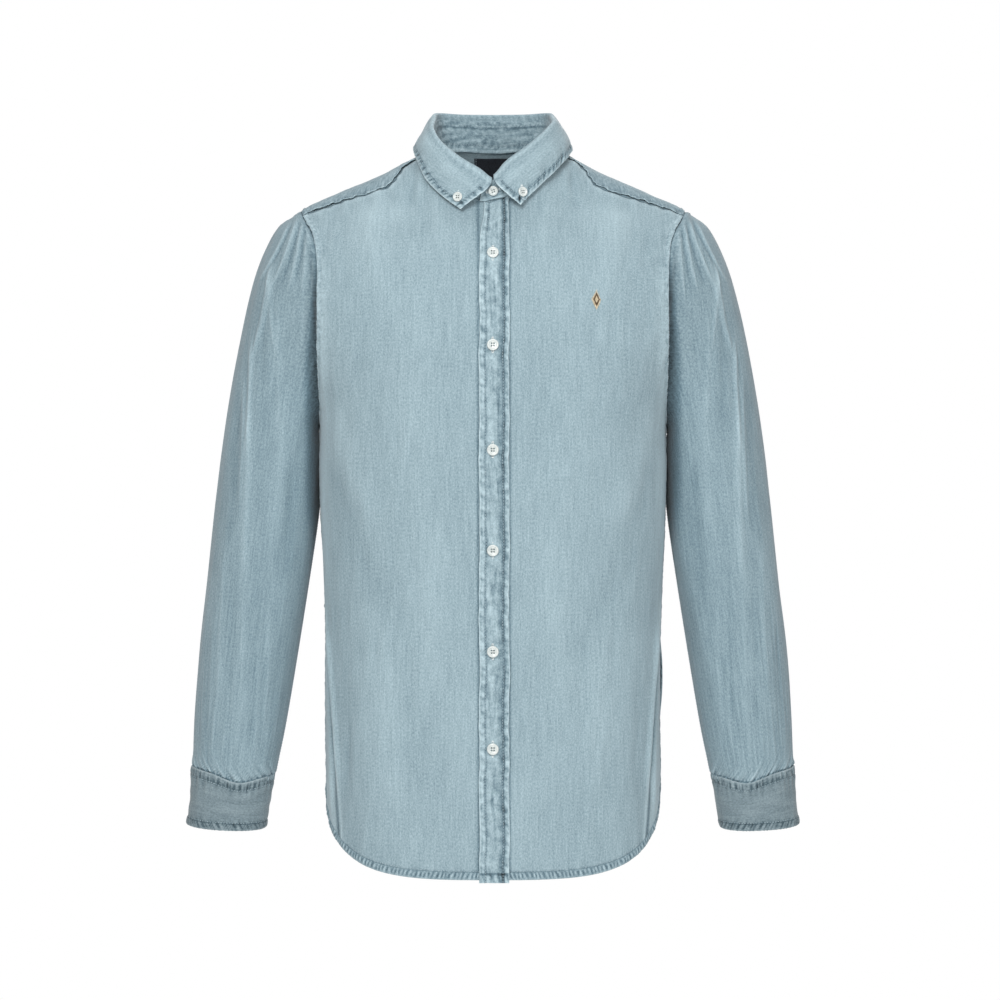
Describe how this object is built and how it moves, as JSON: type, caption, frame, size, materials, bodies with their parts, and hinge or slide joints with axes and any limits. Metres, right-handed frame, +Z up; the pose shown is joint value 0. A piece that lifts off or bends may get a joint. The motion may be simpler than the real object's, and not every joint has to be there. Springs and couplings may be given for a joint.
{
  "type": "long-sleeved denim button-down shirt",
  "caption": "Long-sleeved washed denim shirt with a button-down collar, front placket, shoulder yoke, curved hem and buttoned cuffs, hollow as if worn.",
  "frame": {"origin": "point between the wearer's shoulders, in the middle of the shirt and level with its neck points, where the wearer holds the shirt up", "axes": "+Z up the standing wearer, -Y the way the front faces, +X to the wearer's left"},
  "size_m": [0.6506, 0.2644, 0.827],
  "materials": {
    "denim": "washed pale blue chambray denim, matt",
    "denim_cuff": "the same cloth doubled, a little deeper blue",
    "pearl_button": "pearl white, satin gloss",
    "label_tape": "bare dark woven tape"
  },
  "bodies": {
    "root": {"front_right": "denim", "front_left": "denim", "placket": "denim", "back": "denim", "yoke": "denim", "collar_stand": "denim", "collar_leaf": "denim", "sleeve_right": "denim", "sleeve_left": "denim", "sleeve_placket_right": "denim", "sleeve_placket_left": "denim", "cuff_right": "denim_cuff", "cuff_left": "denim_cuff", "neck_label": "label_tape", "button_front_1": "pearl_button", "button_front_2": "pearl_button", "button_front_3": "pearl_button", "button_front_4": "pearl_button", "button_front_5": "pearl_button", "button_front_6": "pearl_button", "button_stand": "pearl_button", "button_point_right": "pearl_button", "button_point_left": "pearl_button", "button_cuff_right": "pearl_button", "button_cuff_left": "pearl_button"}
  },
  "joints": []
}
